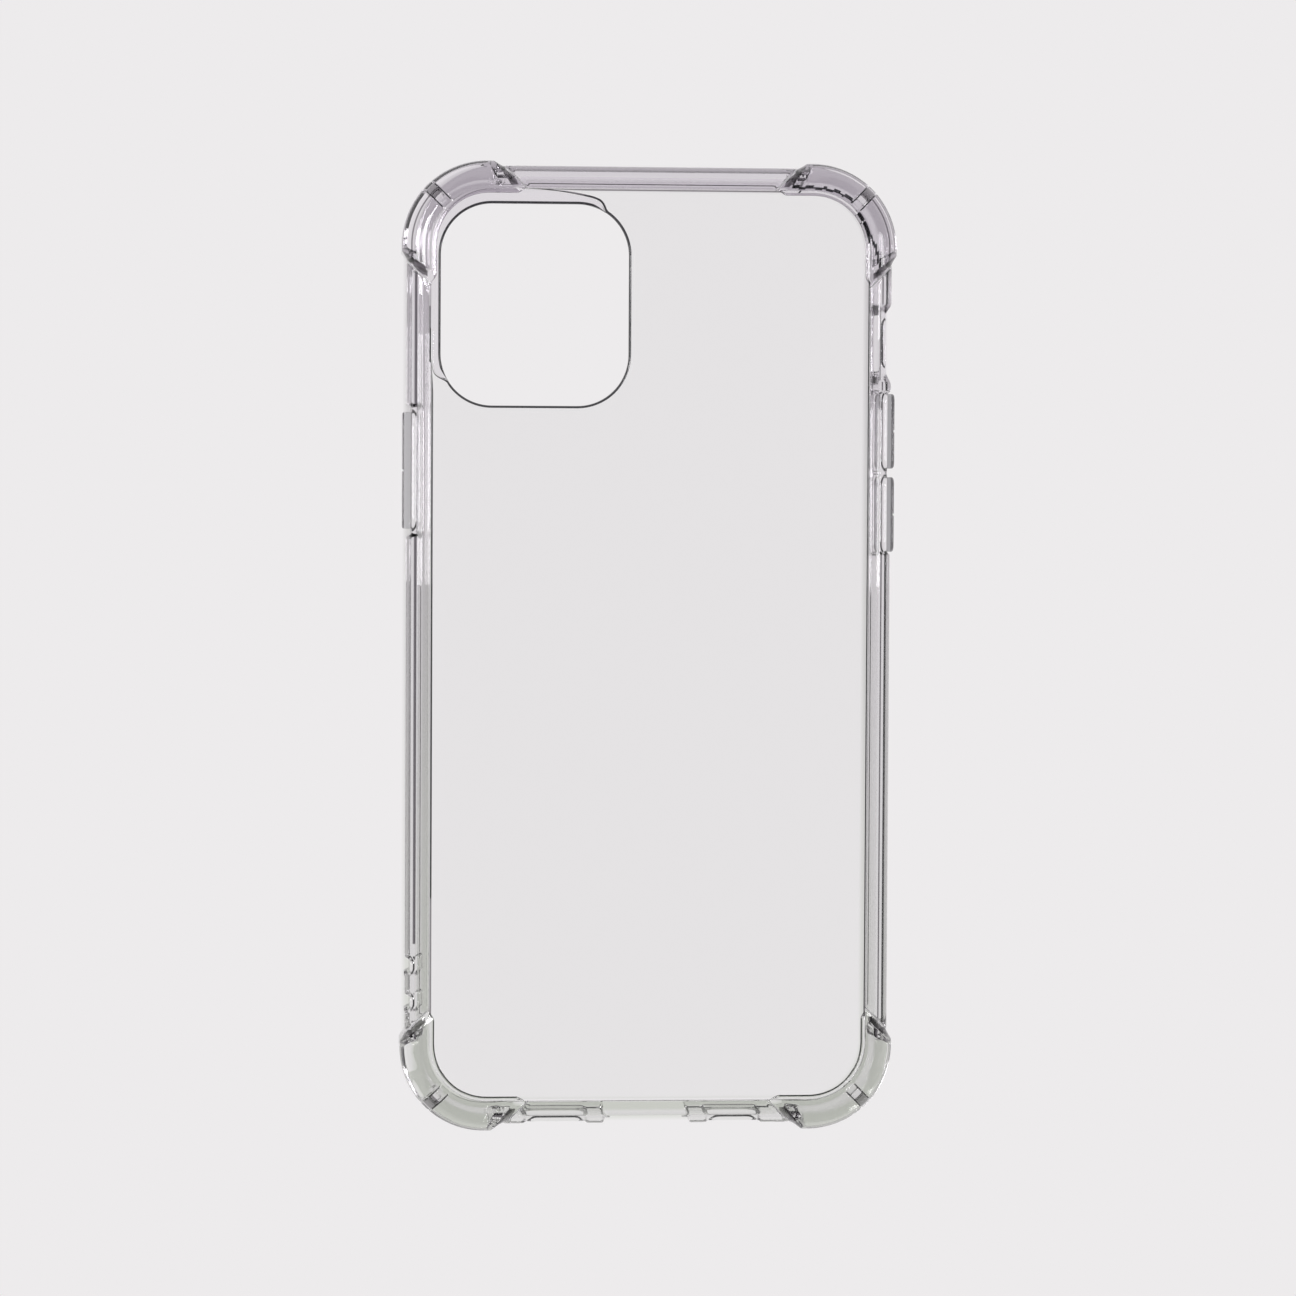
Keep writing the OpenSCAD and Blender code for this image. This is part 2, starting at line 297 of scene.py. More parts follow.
def frame_stations():
    """Every cross-section in order, as (corner's x sign, corner's y sign, leg, side, tau).

    tau is the distance from the corner's tangent along the wall, negative round the corner.
    """
    corner_marks = [(ARC_HALF - RIB_HALF, 0.2, 0.07), (1.0, 0.4, 0.12)]
    found = []
    order = [
        (1, 1, "side", "end"), (-1, 1, "end", "side"),
        (-1, -1, "side", "end"), (1, -1, "end", "side"),
    ]
    for sx, sy, first, second in order:
        for leg, inwards in ((first, True), (second, False)):
            if leg == "side":
                side = "right" if sx > 0 else "left"
                length = CORNER_Y
                marks = leg_marks(side, lambda y: CORNER_Y - sy * y)
            else:
                side = "top" if sy > 0 else "bottom"
                length = CORNER_X
                marks = leg_marks(side, lambda x: CORNER_X - sx * x)
            straight = stations_along(0.0, length, WALL_STEP, marks)
            turn = [-t for t in stations_along(0.0, ARC_HALF, CORNER_STEP, corner_marks)]
            taus = list(reversed(turn)) + straight[1:]
            if inwards:
                taus = list(reversed(taus))
            found += [(sx, sy, leg, side, t) for t in taus[:-1]]
    return found


# An air pocket: its depth, how far it runs past the corner's tangent, and its two ends in height
POCKET_DEEP, POCKET_END = 1.1, 1.5
POCKET_BELOW_MID, POCKET_TOP = 2.8, 8.7


def pocket_weight(at, z):
    """1 inside an air pocket of the corner, 0 outside. at is negative round the corner."""
    between = smooth((ARC_HALF + at - RIB_HALF) / 0.22) * smooth((POCKET_END - at) / 1.4)
    return between * smooth((min(z - MID_Z + POCKET_BELOW_MID, POCKET_TOP - z)) / 0.25)


def seat_radius(sy, leg, at):
    """Where the plate's edge lies, from the corner's centre."""
    inset = 3.6 if sy > 0 else 4.2
    plate_end = PLATE_TOP if sy > 0 else PLATE_BOTTOM
    if at >= 0:
        return FRAME_R - (3.7 if leg == "side" else inset) + SEAM
    turn = -at / ARC_HALF * math.pi / 4
    along, across = math.cos(turn), math.sin(turn)
    shift_x, shift_y = CORNER_X - (PLATE_W - PLATE_R), CORNER_Y - (plate_end - PLATE_R)
    if leg == "side":
        dot = shift_x * along + shift_y * across
    else:
        dot = shift_x * across + shift_y * along
    reach = PLATE_R**2 + dot**2 - shift_x**2 - shift_y**2
    return math.sqrt(reach) - dot + SEAM


def place_on_wall(sx, sy, leg, at, q, z):
    """A point at a distance past the corner's tangent, at radius q, as metres."""
    if at >= 0:
        u, v = q, -at
    else:
        # sections run parallel to the rib beside it, and square to the wall further on
        arc_at = ARC_HALF + at
        near = 1 - smooth((arc_at - 1.2) / 3.0)
        straight = math.asin(clamp01(arc_at / q))
        turn = math.pi / 4 - lerp(arc_at / FRAME_R, straight, near)
        u, v = q * math.cos(turn), q * math.sin(turn)
    if leg == "end":
        u, v = v, u
    return Vector((sx * (CORNER_X + u), sy * (CORNER_Y + v), z)) * MM


def ramp_at(tau, q0, qb):
    """Place along the wall, and how far down the bumper's oblique end, for a mesh line.

    Returns the place, the distance past the end's start, its length, and how much of the
    bumper's section is left. Radius and place depend on each other, so they take turns.
    """
    q = 0.5 * (q0 + qb)
    for turn in range(3):
        reach = BUMPER_R - q
        at = tau + shear(tau) * reach * TAIL_SLOPE
        begun = at - RAMP_AT - RAMP_SLOPE * reach
        length = RAMP_LENGTH + RAMP_WIDENS * reach
        past = begun / length
        raised = 1 - lerp(smooth(past), clamp01(past), 0.8)
        q = lerp(q0, qb, raised)
    return at, begun, length, raised


# The frame's finishes: clear; then painted light and shade: painted dark lines at cut edges,
# painted shade on the bumpers' oblique facets, a painted highlight on the crease at their foot,
# and painted shade on narrow faces
PLAIN, PAINTED_DARK_EDGE, PAINTED_FACET_SHADE, PAINTED_HIGHLIGHT, PAINTED_SHADE = 0, 1, 2, 3, 4
# Radii, from the corner's centre, of the painted dark lines along the rails
RIGHT_LINE, RIGHT_FAINT_LINE = 11.2, 10.35
LEFT_LINE, LEFT_PAD_LINE = 10.8, 11.45
TOP_SIDE_LINE = 11.35
LINE_HALF = 0.13
# The faces that differ from plain: how far an oblique end's painted facet shade runs, and the
# radii that the painted facet shade, the painted highlight on the crease at its foot and the rib's
# painted shade lie between
FACET_RUN = 0.95
FACET_IN, FACET_OUT = 9.2, 12.95
FOOT_IN, FOOT_OUT = 7.9, 12.9
RIB_SHADE_IN, RIB_SHADE_OUT = 10.4, 12.3
# Painted light and shade stop below this height; the walls below it are plain
PAINT_FROM_Z = BUMPER_Z - 3.4
# The left rail's painted dark line begins this far past the lower corner's tangent
LEFT_LINE_FROM = 16.5


def pocket_painted_line_radius(leg, at):
    """Where a painted dark line marks the inner edge of the top right air pockets, seen through
    the back.
    """
    wave = 0.07 * math.sin(at * 2.3) + 0.04 * math.sin(at * 5.1)
    if leg == "end":
        return 9.0 + wave
    return 8.45 + 1.5 * smooth((at + 4.0) / 9.0) + wave


def rail_painted_line(sx, sy, leg, at, past_ramp, q, z, seat):
    """Thin painted dark lines along the rails, standing in for the shade of their inner faces seen
    through the back.
    """
    if past_ramp < 0.2 or leg == "end":
        return PLAIN
    recessed = scoop_depth("right" if sx > 0 else "left", sy * (CORNER_Y - at)) > 0.2
    if sx > 0:
        if abs(q - RIGHT_LINE) < LINE_HALF + 0.02 and not recessed:
            return PAINTED_DARK_EDGE
        faint = abs(q - RIGHT_FAINT_LINE) < LINE_HALF and not recessed
        return PAINTED_SHADE if faint else PLAIN
    if sy > 0 and at < CORNER_Y - CAMERA_LOW[1] - 7.0 and q < seat + 0.25 and z > BACK_Z - 0.3:
        return PAINTED_DARK_EDGE
    if sy < 0 and at < LEFT_LINE_FROM:
        return PLAIN
    line_radius = LEFT_PAD_LINE if recessed else LEFT_LINE
    return PAINTED_SHADE if abs(q - line_radius) < LINE_HALF + 0.01 else PLAIN


def face_finish_or_painted_light(station, rail, bumper, index, seat):
    """Clear finish, or painted light and shade, of the face after this station and section point.
    """
    sx, sy, leg, side, tau = station
    low, high = rail[index], bumper[index]
    at, begun, length, raised = ramp_at(tau, low[0], high[0])
    q, z = lerp(low[0], high[0], raised), lerp(low[1], high[1], raised)
    camera_corner = sx < 0 and sy > 0 and at < (9.25 if leg == "side" else 5.5)
    if z < PAINT_FROM_Z:
        return PLAIN
    # painted shade on the oblique end's facet
    if 0.0 < begun < FACET_RUN and FACET_IN < q < FACET_OUT:
        return PAINTED_FACET_SHADE
    # painted highlight on the crease at the facet's foot
    if abs(begun - length) < LINE_HALF and FOOT_IN < q < FOOT_OUT:
        return PAINTED_HIGHLIGHT
    if begun > 0 and not (camera_corner and q < 9.0):
        return rail_painted_line(sx, sy, leg, at, begun - length, q, z, seat)
    if z < PLATE_Z or begun > 0:
        return PLAIN
    # painted dark line along the lapping bumper's inner edge at the bottom corners
    if sy < 0 and z > BACK_Z + 0.1 and q < seat - LAP + 0.17:
        return PAINTED_DARK_EDGE
    past_rib = abs(ARC_HALF + at)
    # painted dark line on each side of the rib, and painted shade on the rib
    if at < 0 and q > 8.8:
        if abs(past_rib - RIB_HALF) < 0.12:
            return PAINTED_DARK_EDGE
        if past_rib < RIB_HALF and RIB_SHADE_IN < q < RIB_SHADE_OUT:
            return PAINTED_SHADE
    # painted shade line on the top corners' side legs and painted dark line over the top right
    # pockets' inner edge
    on_pocket = sy > 0 and past_rib > RIB_HALF
    if on_pocket and leg == "side" and abs(q - TOP_SIDE_LINE) < LINE_HALF:
        return PAINTED_SHADE
    if on_pocket and sx > 0 and z > BUMPER_Z - 0.4:
        if abs(q - pocket_painted_line_radius(leg, at)) < 0.2:
            return PAINTED_DARK_EDGE
    return PLAIN


def frame_point(station, rail, bumper, index):
    sx, sy, leg, side, tau = station
    q0, z0 = rail[index]
    qb, zb = bumper[index]
    at, begun, length, raised = ramp_at(tau, q0, qb)
    # the facet ends in a shallow valley before the rail's own surface
    past = begun / length
    raised -= VALLEY * smooth(past * 1.3) * (1 - smooth((past - 1.0) / 0.45))
    q, z = lerp(q0, qb, raised), lerp(z0, zb, raised)
    if raised < 0 and qb < q0:
        q, z = q0, z0
    if at < 0 and z > MID_Z:
        # a fine crease over each side of the rib between the air pockets
        crease = clamp01(1 - abs(ARC_HALF + at - RIB_HALF) / CREASE_HALF) * smooth((q - 8.4) / 0.8)
        tilt = math.atan2(max(q - (BUMPER_R - 3.8), 0.0), max(z - (BUMPER_Z - 3.8), 0.01))
        if q > inner_wall(z) + 0.5:
            q -= CREASE_DEPTH * crease * math.sin(tilt)
            z -= CREASE_DEPTH * crease * math.cos(tilt)
    if q < inner_wall(z) + 0.02 and SCREEN_Z + 0.1 < z < PLATE_Z:
        q = lerp(q, CAVITY_R + POCKET_DEEP, pocket_weight(at, z))
    elif at > 2:
        along = CORNER_Y - at if leg == "side" else CORNER_X - at
        depth = scoop_depth(side, (sy if leg == "side" else sx) * along)
        if depth > 0:
            face = BOTTOM_FACE - CORNER_Y if side == "bottom" else FRAME_R
            floor = inner_wall(z) + 0.32 if SCREEN_Z < z < PLATE_Z - 0.05 else 0.0
            q = max(soft_min(q, face - depth, 0.12), min(q, floor))
    return place_on_wall(sx, sy, leg, at, q, z)


def frame_mesh():
    """The soft frame's wall as one closed skin swept round the case."""
    dip = HALF_L - BOTTOM_FACE
    stations = frame_stations()
    verts, faces, finish_or_painted_light = [], [], []
    for station in stations:
        sx, sy, leg, side, tau = station
        seat = seat_radius(sy, leg, tau + shear(tau) * (BUMPER_R - 8.5) * TAIL_SLOPE)
        outer = FRAME_R - (dip * smooth((tau + 2) / 2.5) if side == "bottom" else 0.0)
        rail, bumper = rail_section(outer, seat), bumper_section(seat)
        for i in range(len(rail)):
            verts.append(frame_point(station, rail, bumper, i))
            finish_or_painted_light.append(face_finish_or_painted_light(station, rail, bumper, i, seat))
    ring, count = len(rail), len(stations)
    for s in range(count):
        here, there = s * ring, ((s + 1) % count) * ring
        for i in range(ring):
            j = (i + 1) % ring
            faces.append((here + i, here + j, there + j, there + i))
    mesh = bpy.data.meshes.new("bumper_frame")
    mesh.from_pydata(verts, [], faces)
    mesh.polygons.foreach_set("material_index", finish_or_painted_light)
    return mesh


# ------------------------------------------------------------ flat, round-edged solids


def rounded_rect(low, high, r, per_corner=20):
    """Corner points of a rectangle with round corners, counter-clockwise."""
    points = []
    corners = [
        (high[0] - r, high[1] - r, 0), (low[0] + r, high[1] - r, 90),
        (low[0] + r, low[1] + r, 180), (high[0] - r, low[1] + r, 270),
    ]
    for cx, cy, start in corners:
        points += arc(cx, cy, r, start, start + 90, per_corner)
    return points


def densify(points, step):
    """The same closed outline, with no stretch longer than step."""
    out = []
    for i, a in enumerate(points):
        b = points[(i + 1) % len(points)]
        span = math.dist(a, b)
        if span < 1e-6:
            continue
        count = max(1, math.ceil(span / step))
        out += line(a, b, count)
    return out


def inset_loop(points, distance, ease=None):
    """A closed counter-clockwise outline, moved inwards; less where ease(point) is below 1."""
    moved = []
    n = len(points)
    for i in range(n):
        a, b, c = points[i - 1], points[i], points[(i + 1) % n]
        d1 = Vector((b[0] - a[0], b[1] - a[1])).normalized()
        d2 = Vector((c[0] - b[0], c[1] - b[1])).normalized()
        n1, n2 = Vector((-d1.y, d1.x)), Vector((-d2.y, d2.x))
        mid = n1 + n2
        scale = 2 / max(mid.length_squared, 1.2) * (ease(b) if ease else 1)
        moved.append((b[0] + mid.x * scale * distance, b[1] + mid.y * scale * distance))
    return moved


def slab(name, outline, profile, ease=None, axes=None):
    """Closed solid from an outline and a profile of (inset, height) rings.

    The first ring's inside and the last ring's inside are filled. axes maps
    (x, y, height) in mm to a place.
    """
    bm = bmesh.new()
    rings = []
    for inset, height in profile:
        loop = inset_loop(outline, inset, ease) if inset else outline
        places = [Vector(axes(x, y, height) if axes else (x, y, height)) for x, y in loop]
        rings.append([bm.verts.new(place * MM) for place in places])
    n = len(outline)
    for a, b in zip(rings, rings[1:]):
        for i in range(n):
            j = (i + 1) % n
            bm.faces.new((a[i], a[j], b[j], b[i]))
    for ring in (rings[0], rings[-1]):
        edges = [bm.edges.get((ring[i], ring[(i + 1) % n])) for i in range(n)]
        bmesh.ops.triangle_fill(bm, use_beauty=True, use_dissolve=False, edges=edges)
    bmesh.ops.recalc_face_normals(bm, faces=bm.faces)
    mesh = bpy.data.meshes.new(name)
    bm.to_mesh(mesh)
    bm.free()
    return mesh


def round_profile(top, bottom, top_round, bottom_round, steps=5, flat=0.12):
    """Rings down a slab's edge: in from the top, over the edge and under."""
    rings = [(top_round + flat, top)]
    rings += [
        (top_round * (1 - math.sin(a)), top - top_round * (1 - math.cos(a)))
        for a in [math.pi / 2 * i / steps for i in range(steps + 1)]
    ]
    rings += [
        (bottom_round * (1 - math.cos(a)), bottom + bottom_round * (1 - math.sin(a)))
        for a in [math.pi / 2 * i / steps for i in range(steps + 1)]
    ]
    rings.append((bottom_round + flat, bottom))
    return rings


def smooth_faces(piece, angle):
    """Smooth shading, sharp where two faces meet at more than this angle in degrees."""
    mesh = piece.data
    mesh.polygons.foreach_set("use_smooth", [True] * len(mesh.polygons))
    mesh.set_sharp_from_angle(angle=math.radians(angle))


def link_object(name, data):
    thing = bpy.data.objects.new(name, data)
    bpy.context.scene.collection.objects.link(thing)
    return thing


def add_piece(name, mesh, angle=35):
    piece = link_object(name, mesh)
    smooth_faces(piece, angle)
    return piece


# ---------------------------------------------------------------- cutters


def cutter(name, side, middle, length, height, z, start, depth, r, flare=0.0, face=0.0):
    """Round-cornered block through a wall, opening out where it leaves the wall."""
    outline = rounded_rect([-length / 2, -height / 2], [length / 2, height / 2], r, 10)
    rings = [(0, start)]
    if flare:
        for i in range(6):
            a = math.pi / 2 * i / 5
            rings.append((-flare * (1 - math.cos(a)), face - flare * (1 - math.sin(a))))
        rings.append((-flare, start + depth))
    else:
        rings.append((0, start + depth))
    place = {
        "right": lambda x, y, d: (d, middle + x, z + y),
        "left": lambda x, y, d: (-d, middle - x, z + y),
        "bottom": lambda x, y, d: (middle + x, -d, z + y),
        "top": lambda x, y, d: (middle - x, d, z + y),
    }[side]
    return link_object(name, slab(name, densify(outline, 1.0), rings, axes=place))


def combine(piece, tools, operation):
    """Cut the tools out of the piece, or join them to it, and throw them away."""
    for tool in tools[1:]:
        merged = bmesh.new()
        merged.from_mesh(tools[0].data)
        merged.from_mesh(tool.data)
        merged.to_mesh(tools[0].data)
        merged.free()
    change = piece.modifiers.new("change", "BOOLEAN")
    change.operation = operation
    change.solver = "EXACT"
    change.object = tools[0]
    bpy.context.view_layer.update()
    graph = bpy.context.evaluated_depsgraph_get()
    mesh = bpy.data.meshes.new_from_object(piece.evaluated_get(graph))
    piece.modifiers.clear()
    used = [piece.data] + [tool.data for tool in tools]
    piece.data = mesh
    mesh.name = piece.name
    for tool in tools:
        bpy.data.objects.remove(tool)
    for old in used:
        bpy.data.meshes.remove(old)


# ---------------------------------------------------------------- outlines of the back


CAMERA_LOW = (CAMERA_X - CAMERA_W / 2, CAMERA_Y - CAMERA_L / 2)
CAMERA_HIGH = (CAMERA_X + CAMERA_W / 2, CAMERA_Y + CAMERA_L / 2)


def curve_through(points, steps):
    """Smooth open curve through a few points (Catmull-Rom), ends included."""
    padded = [points[0]] + points + [points[-1]]
    out = []
    for a, b, c, d in zip(padded, padded[1:], padded[2:], padded[3:]):
        for i in range(steps):
            t = i / steps
            out.append(tuple(
                0.5 * (2 * b[k] + (c[k] - a[k]) * t
                       + (2 * a[k] - 5 * b[k] + 4 * c[k] - d[k]) * t * t
                       + (3 * b[k] - a[k] - 3 * c[k] + d[k]) * t**3)
                for k in (0, 1)
            ))
    out.append(points[-1])
    return out


def plate_corner(sx, sy, start):
    top = PLATE_TOP if sy > 0 else PLATE_BOTTOM
    return arc(sx * (PLATE_W - PLATE_R), sy * (top - PLATE_R), PLATE_R, start, start + 90, 30)


def camera_arc(corner, start, end, count):
    cx = (CAMERA_LOW[0] + CAMERA_R, CAMERA_HIGH[0] - CAMERA_R)[corner[0]]
    cy = (CAMERA_LOW[1] + CAMERA_R, CAMERA_HIGH[1] - CAMERA_R)[corner[1]]
    return arc(cx, cy, CAMERA_R, start, end, count)


# Where the soft patch ends: degrees round the cutout's lower left and upper right corners
PATCH_LOW_ANGLE = 212
PATCH_HIGH_ANGLE = 57


def patch_low_edge():
    """From the plate's left edge down to the cutout's lower left round."""
    meet = camera_arc((0, 0), PATCH_LOW_ANGLE, PATCH_LOW_ANGLE, 1)[0]
    return curve_through([
        (-PLATE_W, CAMERA_LOW[1] + 7.0), (-PLATE_W + 0.18, CAMERA_LOW[1] + 5.8),
        (-PLATE_W + 0.75, CAMERA_LOW[1] + 4.55), meet,
    ], 6)


def patch_high_edge():
    """From the cutout's upper right round up to the plate's top edge."""
    meet = camera_arc((1, 1), PATCH_HIGH_ANGLE, PATCH_HIGH_ANGLE, 1)[0]
    return curve_through([
        meet, (CAMERA_HIGH[0] - 4.6, CAMERA_HIGH[1] + 0.55),
        (CAMERA_HIGH[0] - 8.2, CAMERA_HIGH[1] + 1.5),
        (CAMERA_HIGH[0] - 12.0, CAMERA_HIGH[1] + 2.05),
        (CAMERA_HIGH[0] - 16.0, PLATE_TOP),
    ], 6)


def panel_outline():
    """The hard plate: its border, then the soft patch's edges and the cutout between."""
    points = [(-PLATE_W, CAMERA_LOW[1] + 7.0)]
    points += plate_corner(-1, -1, 180) + plate_corner(1, -1, 270) + plate_corner(1, 1, 0)
    points += list(reversed(patch_high_edge()))
    points += camera_arc((1, 1), PATCH_HIGH_ANGLE, 0, 16)[1:]
    points += camera_arc((1, 0), 0, -90, 24)
    points += camera_arc((0, 0), 270, PATCH_LOW_ANGLE, 16)
    points += list(reversed(patch_low_edge()))[1:-1]
    return densify(points, 0.8)


# The patch and the wall are one moulding from here up, round the corner, to the patch's tip
PATCH_JOIN_Y = CAMERA_LOW[1] + 11.5
JOIN = 0.6


def patch_outline():
    """The soft area between the frame's wall and the cutout's upper left."""
    points = [(-PLATE_W + SEAM, PATCH_JOIN_Y)]
    points += [(x + SEAM * 2, y) for x, y in patch_low_edge()[:-1]] + [patch_low_edge()[-1]]
    points += camera_arc((0, 0), PATCH_LOW_ANGLE, 180, 8)[1:]
    points += camera_arc((0, 1), 180, 90, 24)
    points += camera_arc((1, 1), 90, PATCH_HIGH_ANGLE, 8)
    points += [(x - SEAM, y - SEAM * 2) for x, y in patch_high_edge()[1:]]
    points += [(-PLATE_W + 11.0, PLATE_TOP + JOIN)]
    points += arc(-PLATE_W + PLATE_R, PLATE_TOP - PLATE_R, PLATE_R + JOIN, 90, 180, 30)
    points += [(-PLATE_W - JOIN, PATCH_JOIN_Y)]
    return densify(points, 0.8)


def tip_ease(border, *tips):
    """Rounds that fade out towards narrow tips, each (place, reach), and along the border."""
    def ease(point):
        share = min(clamp01((math.dist(point, tip) + 0.02) / reach) for tip, reach in tips)
        return share * (1 if abs(cutout_distance(point)) < 0.3 else border)
    return ease


def cutout_distance(point):
    """Distance from the edge of the camera cutout."""
    half = (CAMERA_W / 2 - CAMERA_R, CAMERA_L / 2 - CAMERA_R)
    dx = max(abs(point[0] - CAMERA_X) - half[0], 0)
    dy = max(abs(point[1] - CAMERA_Y) - half[1], 0)
    return math.hypot(dx, dy) - CAMERA_R


# ---------------------------------------------------------------- pieces

panel_ease = tip_ease(0.75, (patch_high_edge()[-1], 9.0), (patch_low_edge()[0], 5.0))
panel = add_piece("back_panel", slab(
    "back_panel", inset_loop(panel_outline(), SEAM / 2, panel_ease),
    round_profile(BACK_Z, PLATE_Z, 0.36, 0.25, 7), panel_ease,
), 40)
patch_ease = tip_ease(0.7, (patch_high_edge()[0], 2.2), (patch_low_edge()[-1], 2.2))
patch = add_piece("camera_surround", slab(
    "camera_surround", patch_outline(),
    round_profile(BACK_Z - 0.01, PLATE_Z + 0.01, 0.38, 0.15, 7, 0.04), patch_ease,
), 40)

frame_piece = add_piece("bumper_frame", frame_mesh(), 40)
# Slots for the clear finish and for the painted dark edge, painted facet shade, painted highlight
# and painted shade
for finish_or_painted_light in ("plain", "edge", "facet", "bright", "shade"):
    frame_piece.data.materials.append(bpy.data.materials.new(finish_or_painted_light))
patch.data.materials.append(frame_piece.data.materials[0])
combine(frame_piece, [patch], "UNION")
WINDOWS = [
    # name, side, middle, length, height, corner radius, round of the mouth, recess of the wall
    ("mute", "right", MUTE_Y, MUTE_LENGTH, WINDOW_H, WINDOW_R, 0.3, MUTE_DEEP),
    ("volume_up", "right", VOLUME_UP_Y, VOLUME_WINDOW, WINDOW_H, WINDOW_R, 0.12, PAD_DEEP),
    ("volume_down", "right", VOLUME_DOWN_Y, VOLUME_WINDOW, WINDOW_H, WINDOW_R, 0.12, PAD_DEEP),
    ("power", "left", POWER_Y, POWER_WINDOW, WINDOW_H, WINDOW_R, 0.25, PAD_DEEP),
    ("eye_low", "left", EYE_YS[0], EYE_LENGTH, EYE_H, EYE_R, 0.2, EYE_DEEP),
    ("eye_high", "left", EYE_YS[1], EYE_LENGTH, EYE_H, EYE_R, 0.2, EYE_DEEP),
    ("slot_left", "bottom", SLOT_LEFT_X, SLOT_LEFT_LENGTH, WINDOW_H, WINDOW_R, 0.3, SLOT_DEEP),
    ("slot_right", "bottom", SLOT_RIGHT_X, SLOT_RIGHT_LENGTH, WINDOW_H, WINDOW_R, 0.3, SLOT_DEEP),
]
# Where a cutter starts inside each wall, how far it reaches, and the wall's outer face
SIDE_CUT = {"right": (HALF_W - 5, 9, HALF_W), "bottom": (HALF_L - 6, 10, BOTTOM_FACE)}
SIDE_CUT["left"] = SIDE_CUT["right"]
NOTCH_H = 14.0


def window_cutters():
    """The windows and slots, and the charging notch, which is open towards the screen."""
    tools = []
    for name, side, middle, length, height, r, mouth, deep in WINDOWS:
        start, depth, face = SIDE_CUT[side]
        tools.append(cutter(
            name, side, middle, length, height, BUTTON_Z, start, depth, r, mouth, face - deep,
        ))
    start, depth, face = SIDE_CUT["bottom"]
    notch_z = BUTTON_Z + WINDOW_H / 2 - NOTCH_H / 2
    tools.append(cutter("notch", "bottom", 0.0, NOTCH_LENGTH, NOTCH_H, notch_z, start, depth, 1.8))
    return tools


combine(frame_piece, window_cutters(), "DIFFERENCE")
smooth_faces(frame_piece, 38)


def on_wall(sign):
    """Maps (y, z, distance from the case's middle) to a place on the right or left wall."""
    def place(y, z, x):
        return (sign * x, y, z)
    return place


def button(name, sign, node):
    """A press pad with round edges and a small nick across its middle."""
    low, high = box_mm(node)
    outer = max(abs(low[0]), abs(high[0]))
    inner = min(abs(low[0]), abs(high[0]))
    outline = densify(rounded_rect(low[1:], high[1:], 1.2, 12), 0.6)
    profile = round_profile(outer, inner, 0.35, 0.15, 6)
    piece = add_piece(name, slab(name, outline, profile, axes=on_wall(sign)))
    nick = cutter(
        name + "_nick", "right" if sign > 0 else "left", middle_mm(node, 1), 0.3, 6.0,
        middle_mm(node, 2), outer - 0.18, 1.0, 0.14, 0.12, outer,
    )
    combine(piece, [nick], "DIFFERENCE")
    smooth_faces(piece, 35)
    return piece


def web(name, sign, node):
    """The thin dished web that joins a pad to the wall; the real one bends as the pad is pressed,
    this one keeps its shape.
    """
    low, high = box_mm(node)
    gap = 0.03
    outline = densify(rounded_rect(
        [v + gap for v in low[1:]], [v - gap for v in high[1:]], WINDOW_R - gap, 12), 0.6)
    rim_out, rim_in = HALF_W - 1.1, HALF_W - WALL + 0.06
    rise = 0.27
    rings = [
        (0.75, rim_out + rise), (0.6, rim_out + rise), (0.45, rim_out + rise - 0.02),
        (0.36, rim_out + rise / 2), (0.26, rim_out + 0.02), (0.12, rim_out), (0.0, rim_out - 0.04),
        (0.0, rim_in + 0.04), (0.12, rim_in), (0.3, rim_in + 0.02), (0.42, rim_in + rise / 2),
        (0.52, rim_in + rise - 0.02), (0.66, rim_in + rise), (0.8, rim_in + rise),
    ]
    piece = add_piece(name, slab(name, outline, rings, axes=on_wall(sign)), 50)
    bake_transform(piece)
    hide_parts(node)
    return piece


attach(frame_piece, "case")
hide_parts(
    "top_rail", "bottom_rail", "left_rail", "right_rail",
    "top_left_bumper", "top_right_bumper", "bottom_left_bumper", "bottom_right_bumper",
    "strap_bar", "camera_border",
)
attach(panel, "case")
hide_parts("back_plate")

pads = []
for node, sign, body in (
    ("power_button", -1, "power_pad"),
    ("volume_up_button", 1, "volume_up_pad"),
    ("volume_down_button", 1, "volume_down_pad"),
):
    pad = button(node.replace("_button", "_pad_skin"), sign, node)
    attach(pad, body)
    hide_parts(node)
    pads.append(pad)
webs = [
    web(node + "_skin", sign, node)
    for node, sign, body in (
        ("power_button_web", -1, "power_pad"),
        ("volume_up_web", 1, "volume_up_pad"),
        ("volume_down_web", 1, "volume_down_pad"),
    )
]

# ---------------------------------------------------------------- materials


def new_material(name):
    mat = bpy.data.materials.new(name)
    mat.use_nodes = True
    mat.node_tree.nodes.clear()
    return mat, mat.node_tree, mat.node_tree.nodes.new("ShaderNodeOutputMaterial")


def map_range(tree, value, low, high, to=(0.0, 1.0), kind="LINEAR"):
    """Node output that goes from to[0] to to[1] as the value goes from low to high."""
    node = tree.nodes.new("ShaderNodeMapRange")
    node.interpolation_type = kind
    names = ("From Min", "From Max", "To Min", "To Max")
    for socket, number in zip(names, (low, high, *to)):
        node.inputs[socket].default_value = number
    tree.links.new(value, node.inputs["Value"])
    return node.outputs["Result"]


def axis_value(tree, vector, axis):
    node = tree.nodes.new("ShaderNodeSeparateXYZ")
    tree.links.new(vector, node.inputs["Vector"])
    return node.outputs[axis]


def mixed_colour(tree, factor, colour_a, colour_b):
    """Mix of two colours; each is a tuple or another node's output."""
    node = tree.nodes.new("ShaderNodeMix")
    node.data_type = "RGBA"
    for name, colour in (("A", colour_a), ("B", colour_b)):
        if isinstance(colour, tuple):
            node.inputs[name].default_value = (*colour, 1)
        else:
            tree.links.new(colour, node.inputs[name])
    tree.links.new(factor, node.inputs["Factor"])
    return node.outputs["Result"]


def noise(tree, place, scale, detail):
    node = tree.nodes.new("ShaderNodeTexNoise")
    node.inputs["Scale"].default_value = scale
    node.inputs["Detail"].default_value = detail
    tree.links.new(place, node.inputs["Vector"])
    return node.outputs["Fac"]


